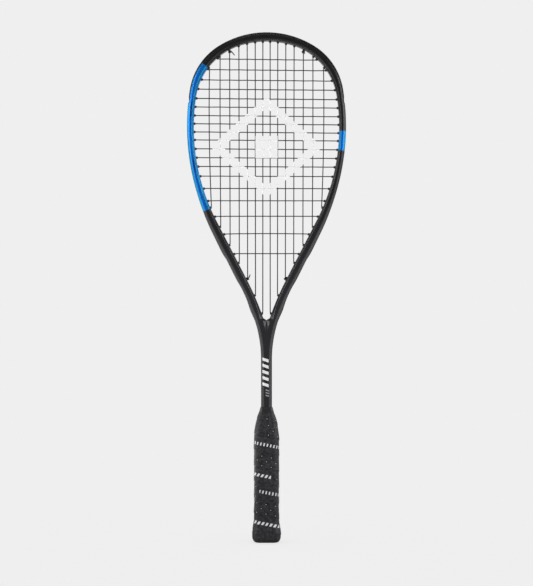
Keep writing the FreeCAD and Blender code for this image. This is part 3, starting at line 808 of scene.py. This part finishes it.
def make_butt():
    """The cap's domed end, seen under the lower edge of the grip."""
    half_width, half_depth, corner = GRIP_PROFILE[0][1:]
    dome_width = 5.6
    dome_height = 5.2
    tape = 0.7
    top = 12.0
    rows = []
    for step in range(13):
        angle = math.pi / 2 * step / 12
        inset = dome_width * (1 - math.sin(angle))
        size = (half_width - tape - inset, half_depth - tape - inset, max(corner - inset * 0.75, 2.0))
        rows.append((dome_height * (1 - math.cos(angle)), *size))
    return make_sleeve("butt_end", rows + [(top, *size)])


def make_finishing_tape():
    """A thin band over the end of the grip; it reaches a little onto the shaft."""
    low = GRIP_PROFILE[-2][0]
    rows = []
    for step in range(9):
        height = low + (GRIP_HIGH - low) * step / 8
        swell = 0.28 + 0.05 * math.sin(step * 2.1) if step else 0.05
        rows.append((height, *(smooth_grip_size(height) + swell)))
    for rise, lip in ((0.5, 0.38), (1.2, 0.3), (1.3, 0.02)):
        rows.append((GRIP_HIGH + rise, SHAFT_HALF + lip, HALF_BEAM + lip, 2.7 + lip))
    return make_sleeve("finishing_band", rows)


# ---- materials

STENCIL_HEIGHT = 532.0
STENCIL_SIZE = 68.0
STENCIL_LINE = 15.0
TWIST_RATE = 3.4
# The bars on the shaft: each group's lowest and highest point, left, right, pitch and bar height.
SHAFT_BARS = [(209.5, 250.2, -5.4, 2.8, 8.3, 4.0), (196.7, 206.6, -1.2, 3.4, 3.6, 1.6)]
# Printed rows: where each starts in the period, half its length, the dashes' pitch and width, their lean
# and the row's place across the tape.
PRINT_ROWS = [(0.0, 21.0, 4.4, 1.7, 0.25, 0.0), (211.9, 19.0, 5.4, 2.9, 0.6, 0.4)]
PRINT_PERIOD = 349.1
PRINT_START = 5 * PERIMETER + 4.5 * PRINT_PERIOD
PRINT_HALF_HEIGHT = 2.1
HOLE_PITCH = 12.71
HOLE_ROWS = 6.4


class Value:
    """A node's output; arithmetic on it adds math nodes and gives their output."""

    def __init__(self, tree, socket):
        self.tree = tree
        self.socket = socket

    def math(self, operation, other=0.0, clamp=False):
        return self.tree.node("ShaderNodeMath", {0: self, 1: other}, operation=operation, use_clamp=clamp)

    __add__ = partialmethod(math, "ADD")
    __sub__ = partialmethod(math, "SUBTRACT")
    __mul__ = partialmethod(math, "MULTIPLY")
    __truediv__ = partialmethod(math, "DIVIDE")
    __mod__ = partialmethod(math, "MODULO")
    __lt__ = partialmethod(math, "LESS_THAN")
    __gt__ = partialmethod(math, "GREATER_THAN")
    __abs__ = partialmethod(math, "ABSOLUTE")

    def opposite(self):
        return self * -1.0 + 1.0

    def joined(self, other):
        """Both masks together, at most 1."""
        return self.math("ADD", other, clamp=True)

    def remap(self, low, high, new_low, new_high):
        inputs = {"Value": self, "From Min": low, "From Max": high, "To Min": new_low, "To Max": new_high}
        return self.tree.node("ShaderNodeMapRange", inputs, "Result", clamp=True)

    def band(self, low, high, soft=0.15):
        """1 between low and high, 0 outside, with a soft edge."""
        return self.remap(low - soft, low + soft, 0, 1) * self.remap(high - soft, high + soft, 1, 0)


class Nodes:
    """The nodes of a material or world: every call adds one and returns its output as a Value."""

    def __init__(self, owner):
        owner.use_nodes = True
        self.owner = owner
        self.tree = owner.node_tree

    def feed(self, socket, value):
        if isinstance(value, Value):
            self.tree.links.new(value.socket, socket)
        else:
            socket.default_value = value

    def node(self, kind, inputs, output=0, **settings):
        item = self.tree.nodes.new(kind)
        for key, value in settings.items():
            setattr(item, key, value)
        for key, value in inputs.items():
            self.feed(item.inputs[key], value)
        return Value(self, item.outputs[output])

    def attribute(self, name):
        return self.node("ShaderNodeAttribute", {}, "Fac", attribute_name=name)

    def position(self):
        """The point on the rest shape, in millimetres."""
        point = self.node("ShaderNodeTexCoord", {}, "Object")
        return self.node("ShaderNodeVectorMath", {0: point, "Scale": 1 / MM}, operation="SCALE")

    def axes(self, vector):
        return [self.node("ShaderNodeSeparateXYZ", {0: vector}, axis) for axis in range(3)]

    def noise(self, vector, scale, detail=3.0, roughness=0.5, stretch=None):
        if stretch:
            vector = self.node("ShaderNodeMapping", {"Vector": vector, "Scale": stretch})
        inputs = {"Vector": vector, "Scale": scale, "Detail": detail, "Roughness": roughness}
        return self.node("ShaderNodeTexNoise", inputs, "Fac")

    def blend(self, share, first, second):
        return self.node("ShaderNodeMix", {0: share, 6: first, 7: second}, 2, data_type="RGBA")

    def bump(self, height, strength, distance):
        inputs = {"Strength": strength, "Distance": distance * MM, "Height": height}
        return self.node("ShaderNodeBump", inputs)

    def finish(self, **inputs):
        """Fills the material's shader, with the names of its inputs written with underscores."""
        shader = self.tree.nodes["Principled BSDF"]
        for key, value in inputs.items():
            self.feed(shader.inputs[key.replace("_", " ")], value)
        return self.owner


def srgb(red, green, blue):
    """A linear colour from display values of 0 to 255."""
    linear = []
    for value in (red, green, blue):
        share = value / 255
        linear.append(share / 12.92 if share <= 0.04045 else ((share + 0.055) / 1.055) ** 2.4)
    return (*linear, 1.0)


def frame_material():
    """Lacquered carbon: near black with a faint weave, two blue bands and a generic mark on the shaft; the
    arms' black is painted lighter as light from below, the blue's chamfers carry a painted highlight and its
    middle two patches of painted shadow.
    """
    tree = Nodes(bpy.data.materials.new("frame_lacquer"))
    position = tree.position()
    x, y, z = tree.axes(position)
    along = tree.attribute("along")
    across = tree.attribute("across")
    right = x > 0.0
    left_band = right.opposite() * painted(along, *BLUE_LEFT)
    blue_mask = left_band.joined(right * painted(along, *BLUE_RIGHT))
    weave = carbon_weave(x, z)
    fibres = tree.noise(position, 0.9, 2.0, 0.5, stretch=(1.0, 1.0, 0.16))
    # Painted light: below the hoop's widest part the black turns lighter, fading in from 480 mm down to 330
    # mm, standing in for light from below.
    hoop_black = tree.blend(weave, srgb(5, 5, 7), srgb(10, 10, 13))
    painted_light_arm_black = tree.blend(weave, srgb(22, 22, 26), srgb(36, 36, 41))
    black = tree.blend(z.remap(330.0, 480.0, 1, 0), hoop_black, painted_light_arm_black)
    blue = tree.blend(fibres.remap(0.35, 0.65, 0, 1), srgb(0, 100, 192), srgb(0, 110, 202))
    # Painted highlight: the outer and inner chamfers of the blue take a paler cyan blue that stands in for
    # the light they reflect.
    edges = across.band(-0.5, 0.24, 0.05) + across.band(0.72, 0.92, 0.05)
    blue = tree.blend(edges, blue, srgb(0, 122, 158))
    patches = painted(along, 592.0, 572.0, 2.5) + painted(along, 516.0, 498.0, 3.0)
    shadow = patches * across.band(0.42, 0.68, 0.08)
    blue = tree.blend(shadow * 0.8, blue, srgb(2, 40, 104))
    color = tree.blend(blue_mask, black, blue)
    for mark, tone in zip(shaft_marks(x, y, z), (srgb(236, 236, 236), srgb(150, 150, 154))):
        color = tree.blend(mark, color, tone)
    speckle = tree.noise(position, 3.5, 3.0, 0.6)
    smudges = tree.noise(position, 0.06, 3.0, 0.6)
    roughness = speckle.remap(0.2, 0.8, 0.26, 0.34) + smudges.remap(0.35, 0.75, 0.0, 0.08)
    normal = tree.bump(fibres + weave * 0.5, 0.12, 0.05)
    return tree.finish(Base_Color=color, Roughness=roughness, Normal=normal, Metallic=blue_mask * 0.55,
                       Specular_IOR_Level=0.42)


def painted(along, high, low, soft=0.15):
    """A band across the tube between two heights of the hoop's outside."""
    marks = [INSIDE.nearest_mark(OUTSIDE.at(OUTSIDE.mark_at_height(height))) for height in (high, low)]
    return along.band(*marks, soft)


def carbon_weave(x, z):
    """A fine diagonal twill."""
    waves = [(place_across * 3.1).math("SINE") for place_across in (x + z, x - z)]
    return (waves[0] * waves[1]).remap(-0.4, 0.4, 0, 1)


def shaft_marks(x, y, z):
    """A column of white slanted bars up the front of the shaft and a small grey group under it."""
    slanted = z + x * 0.35
    masks = []
    for low, high, left, right, pitch, bar in SHAFT_BARS:
        phase = (slanted - (low - pitch)) % pitch
        mask = phase.band(0.3, 0.3 + bar) * x.band(left, right)
        masks.append(mask * slanted.band(low, high) * (y < 0.0))
    return masks


def nylon_material(name, tone, roughness):
    """Moulded nylon with a fine grain and a few paler rub marks."""
    tree = Nodes(bpy.data.materials.new(name))
    position = tree.position()
    grain = tree.noise(position, 2.4, 4.0, 0.65)
    rubs = tree.noise(position, 0.25, 4.0, 0.7, stretch=(1.0, 1.0, 0.4)).remap(0.6, 0.78, 0.0, 0.35)
    color = tree.blend(rubs, srgb(tone, tone, tone + 2), srgb(tone + 26, tone + 26, tone + 28))
    rough = grain.remap(0.2, 0.8, roughness - 0.06, roughness + 0.08)
    return tree.finish(Base_Color=color, Roughness=rough, Normal=tree.bump(grain, 0.25, 0.06))


def string_material():
    """Black nylon string with a fine twist and a white stencil on both faces of the bed."""
    tree = Nodes(bpy.data.materials.new("string_nylon"))
    x, _, z = tree.axes(tree.position())
    twist = (tree.attribute("travelled") * TWIST_RATE).math("SINE")
    color = tree.blend(twist.remap(-1, 1, 0, 1), srgb(14, 13, 16), srgb(24, 23, 26))
    color = tree.blend(string_stencil(x, z), color, srgb(228, 228, 230))
    rough = twist.remap(-1, 1, 0.42, 0.52)
    return tree.finish(Base_Color=color, Roughness=rough, Normal=tree.bump(twist, 0.15, 0.03))


def string_stencil(x, z):
    """A wide plain lozenge outline with a filled square inside, as a generic stencil."""
    rise = abs(z - STENCIL_HEIGHT)
    outline = (abs(x) * 0.9 + rise).band(STENCIL_SIZE - STENCIL_LINE, STENCIL_SIZE)
    square = x.band(-STENCIL_LINE, STENCIL_LINE) * rise.band(-1, STENCIL_LINE)
    return outline.joined(square)


def grip_material():
    """Perforated polyurethane: satin black with a fine grain, pinholes and generic printed dashes."""
    tree = Nodes(bpy.data.materials.new("grip_polyurethane"))
    position = tree.position()
    x, y, z = tree.axes(position)
    share = around_share(x, y)
    helix = (z - WRAP_CENTRE) / WRAP_PITCH + share + 0.5
    across = (helix.math("FRACT") - 0.5) * WRAP_PITCH
    along = (share - helix.math("FLOOR")) * PERIMETER
    holes, rims = perforations(along, across, z)
    grain = tree.noise(position, 1.7, 4.0, 0.6)
    blotch = tree.noise(position, 0.3, 4.0, 0.65)
    color = tree.blend(blotch.remap(0.36, 0.66, 0, 1), srgb(16, 16, 18), srgb(58, 58, 62))
    color = tree.blend(tape_print(along, across) * z.band(14.0, 142.0), color, srgb(226, 226, 228))
    color = tree.blend(rims, color, srgb(3, 3, 4))
    color = tree.blend(holes, color, srgb(160, 160, 164))
    rough = grain.remap(0.2, 0.8, 0.46, 0.62)
    normal = tree.bump(grain * 0.25 - rims, 0.5, 0.25)
    return tree.finish(Base_Color=color, Roughness=rough, Normal=normal, Specular_IOR_Level=0.35)


def around_share(x, y):
    """Where a point is round the handle, from -0.5 to 0.5 with the front's middle at 0."""
    half_width, half_depth, corner = GRIP_PROFILE[5][1:]
    flat_x = half_width - corner
    flat_y = half_depth - corner
    side_x = x.math("MAXIMUM", -flat_x).math("MINIMUM", flat_x)
    side_y = y.math("MAXIMUM", -flat_y).math("MINIMUM", flat_y)
    angle = abs(x - side_x).math("ARCTAN2", (y - side_y) * -1.0)
    flat_part = abs(side_x)
    back_part = (y > 0.0) * (flat_part * -2.0 + 2.0 * flat_x)
    total = flat_part + back_part + (angle * corner + (side_y + flat_y))
    return total / PERIMETER * x.math("SIGN")


def print_place(along, offset):
    """How far along the tape a point is from the middle of a row's printed stretch."""
    return (along + (PRINT_START - offset)) % PRINT_PERIOD - PRINT_PERIOD / 2


def tape_print(along, across):
    """Two rows of dashes that take turns along the tape."""
    masks = []
    for offset, half_length, pitch, dash, slant, rise in PRINT_ROWS:
        local = print_place(along, offset)
        phase = (local - across * slant + pitch * 20) % pitch
        row = across.band(rise - PRINT_HALF_HEIGHT, rise + PRINT_HALF_HEIGHT, 0.1)
        masks.append(local.band(-half_length, half_length) * (phase.band(0.4, 0.4 + dash, 0.1) * row))
    return masks[0].joined(masks[1])


def perforations(along, across, height):
    """Staggered pinholes between the printed stretches: the hole's floor and its dark rim."""
    clear = height.band(30.0, 168.0)
    for offset, half_length, *_ in PRINT_ROWS:
        clear = clear * (abs(print_place(along, offset)) > half_length + 5)
    row = (across + (1.1 + HOLE_ROWS * 20.5)) / HOLE_ROWS
    row_local = (row.math("FRACT") - 0.5) * HOLE_ROWS
    shift = row.math("FLOOR") % 2.0 * (HOLE_PITCH / 2)
    hole = (along + shift + (HOLE_PITCH * 200 - 1.2)) / HOLE_PITCH
    hole_local = (hole.math("FRACT") - 0.5) * HOLE_PITCH
    distance = (row_local * row_local + hole_local * hole_local).math("SQRT")
    return distance.remap(0.5, 0.85, 1, 0) * clear, distance.remap(1.5, 2.5, 1, 0) * clear


def plain_material(name, color, roughness, grain_scale, grain_height, metallic=0.0):
    """A moulded, taped or metal surface with an even colour and a fine grain."""
    tree = Nodes(bpy.data.materials.new(name))
    grain = tree.noise(tree.position(), grain_scale, 4.0, 0.6)
    deeper = tuple(channel * 0.8 for channel in color[:3]) + (1.0,)
    rough = grain.remap(0.2, 0.8, roughness - 0.05, roughness + 0.05)
    return tree.finish(Base_Color=tree.blend(grain, deeper, color), Roughness=rough,
                       Normal=tree.bump(grain, 0.3, grain_height), Metallic=metallic)


# ---- pieces

finish_piece(make_frame_mesh(), frame_material(), "frame", crease=50)
guard_nylon = nylon_material("guard_nylon", 16, 0.55)
finish_piece(make_guard(), guard_nylon, "bumper_guard", crease=50)
strip_nylon = nylon_material("strip_nylon", 12, 0.5)
for side, label in ((1, "right"), (-1, "left")):
    strip = make_strip(side, "strip_%s_shell" % label)
    finish_piece(strip, strip_nylon, "grommet_strip_%s" % label, crease=50)
strings = string_material()
finish_piece(make_main_string(), strings, "main_string")
finish_piece(make_cross_string(), strings, "cross_string")
finish_piece(make_knots(), strings, "string_knots")
finish_piece(make_grip(), grip_material(), "grip_tape")
cap_plastic = plain_material("cap_plastic", srgb(26, 26, 29), 0.5, 2.0, 0.08)
finish_piece(make_butt(), cap_plastic, "butt_cap")
tape_vinyl = plain_material("tape_vinyl", srgb(26, 26, 29), 0.42, 0.8, 0.12)
finish_piece(make_finishing_tape(), tape_vinyl, "finishing_tape", crease=60)

inner_looks = {
    "handle_foam": ("foam_cells", srgb(120, 116, 106), 0.9, 1.4, 0.2),
    "shaft_plug": ("plug_foam", srgb(120, 116, 106), 0.9, 1.4, 0.2),
    "balance_putty": ("putty", srgb(130, 128, 118), 0.7, 0.5, 0.3),
    "butt_cap_staples": ("staple_wire", srgb(170, 172, 176), 0.35, 1.0, 0.02, 1.0),
}
for node, look in inner_looks.items():
    materials = frame["nodes"][node].data.materials
    materials.clear()
    materials.append(plain_material(*look))

# ---- floor, light and camera

BACKGROUND = srgb(239, 239, 239)
ROOM_LIGHT = 0.2
FLOOR_TONE = 0.8
# The floor's own glow makes up what the room's light leaves short of the background; the racket sees it
# dimmer.
FLOOR_GLOW = 1 - FLOOR_TONE * ROOM_LIGHT / BACKGROUND[0]
FLOOR_BOUNCE = 0.3


def make_floor():
    """A wide disc that looks as pale as the backdrop."""
    radius = 40.0
    sides = 96
    ring = [(radius * math.cos(angle), radius * math.sin(angle), 0.0)
            for angle in np.linspace(0, 2 * math.pi, sides + 1)[:-1]]
    mesh = bpy.data.meshes.new("floor")
    mesh.from_pydata(ring, [], [tuple(range(sides))])
    tree = Nodes(bpy.data.materials.new("pale_floor"))
    seen = tree.node("ShaderNodeLightPath", {}, "Is Camera Ray")
    mesh.materials.append(tree.finish(
        Base_Color=(FLOOR_TONE, FLOOR_TONE, FLOOR_TONE, 1), Roughness=1.0, Specular_IOR_Level=0.0,
        Emission_Color=BACKGROUND, Emission_Strength=seen.remap(0, 1, FLOOR_BOUNCE, FLOOR_GLOW)))
    add_object("floor", mesh)


def make_world():
    """A flat pale backdrop for the camera and a dimmer even room for lighting the object."""
    world = bpy.data.worlds.new("studio")
    bpy.context.scene.world = world
    tree = Nodes(world)
    backdrop = tree.node("ShaderNodeBackground", {"Color": BACKGROUND})
    room = tree.node("ShaderNodeBackground", {"Color": (1, 1, 1, 1), "Strength": ROOM_LIGHT})
    seen = tree.node("ShaderNodeLightPath", {}, "Is Camera Ray")
    light = tree.node("ShaderNodeMixShader", {0: seen, 1: room, 2: backdrop})
    tree.feed(tree.tree.nodes["World Output"].inputs["Surface"], light)


def make_light(name, place_at, aim, width, height, power, receivers):
    lamp = bpy.data.lights.new(name, "AREA")
    lamp.shape = "RECTANGLE"
    lamp.size = width
    lamp.size_y = height
    lamp.energy = power
    item = add_object(name, lamp)
    item.location = place_at
    item.rotation_euler = (Vector(aim) - Vector(place_at)).to_track_quat("-Z", "Y").to_euler()
    item.light_linking.receiver_collection = receivers
    item.visible_camera = False


def make_lights():
    """Soft panels at both sides, above and behind; they light the racket and not the floor."""
    receivers = bpy.data.collections.new("lit_by_panels")
    for item in bpy.context.scene.objects:
        if item.type == "MESH" and item.name != "floor":
            receivers.objects.link(item)
    middle = (0, 0, 0.36)
    panels = [
        ("panel_left", (-2.5, -1.7, 1.2), middle, 1.2, 1.5, 44),
        ("panel_right", (2.5, -1.7, 1.2), middle, 1.2, 1.5, 44),
        ("rim_left", (-2.7, 0.9, 1.25), middle, 0.8, 1.3, 20),
        ("rim_right", (2.7, 0.9, 1.25), middle, 0.8, 1.3, 20),
        ("panel_top", (0, -1.6, 2.9), middle, 1.8, 1.0, 6),
        ("rim_top", (0, 1.4, 3.0), middle, 2.0, 0.8, 26),
        ("panel_back", (0, 2.6, 1.45), middle, 3.6, 2.2, 20),
        ("panel_low", (-0.5, 0.25, 0.04), (-0.5, 0.25, 1), 1.2, 0.45, 8),
        ("floor_left", (-1.5, -0.7, 0.03), (-1.5, -0.7, 1), 2.0, 1.1, 16),
        ("floor_right", (1.5, -0.7, 0.03), (1.5, -0.7, 1), 2.0, 1.1, 16),
    ]
    for name, place_at, aim, width, height, power in panels:
        make_light(name, place_at, aim, width, height, power, receivers)


def make_camera():
    """A long lens square on to the string plane; the view is as high as the frame of the photograph."""
    view_height = 0.7896
    camera_height = 0.3354
    distance = 2.6
    camera = bpy.data.cameras.new("camera")
    camera.lens = camera.sensor_width * distance / view_height
    camera.clip_end = 200
    item = add_object("camera", camera)
    item.location = (0.0, -distance, camera_height)
    item.rotation_euler = (math.radians(90), 0, 0)
    bpy.context.scene.camera = item


make_floor()
make_world()
make_lights()
make_camera()
bpy.context.scene.view_settings.view_transform = "Standard"
bpy.context.scene.view_settings.look = "None"
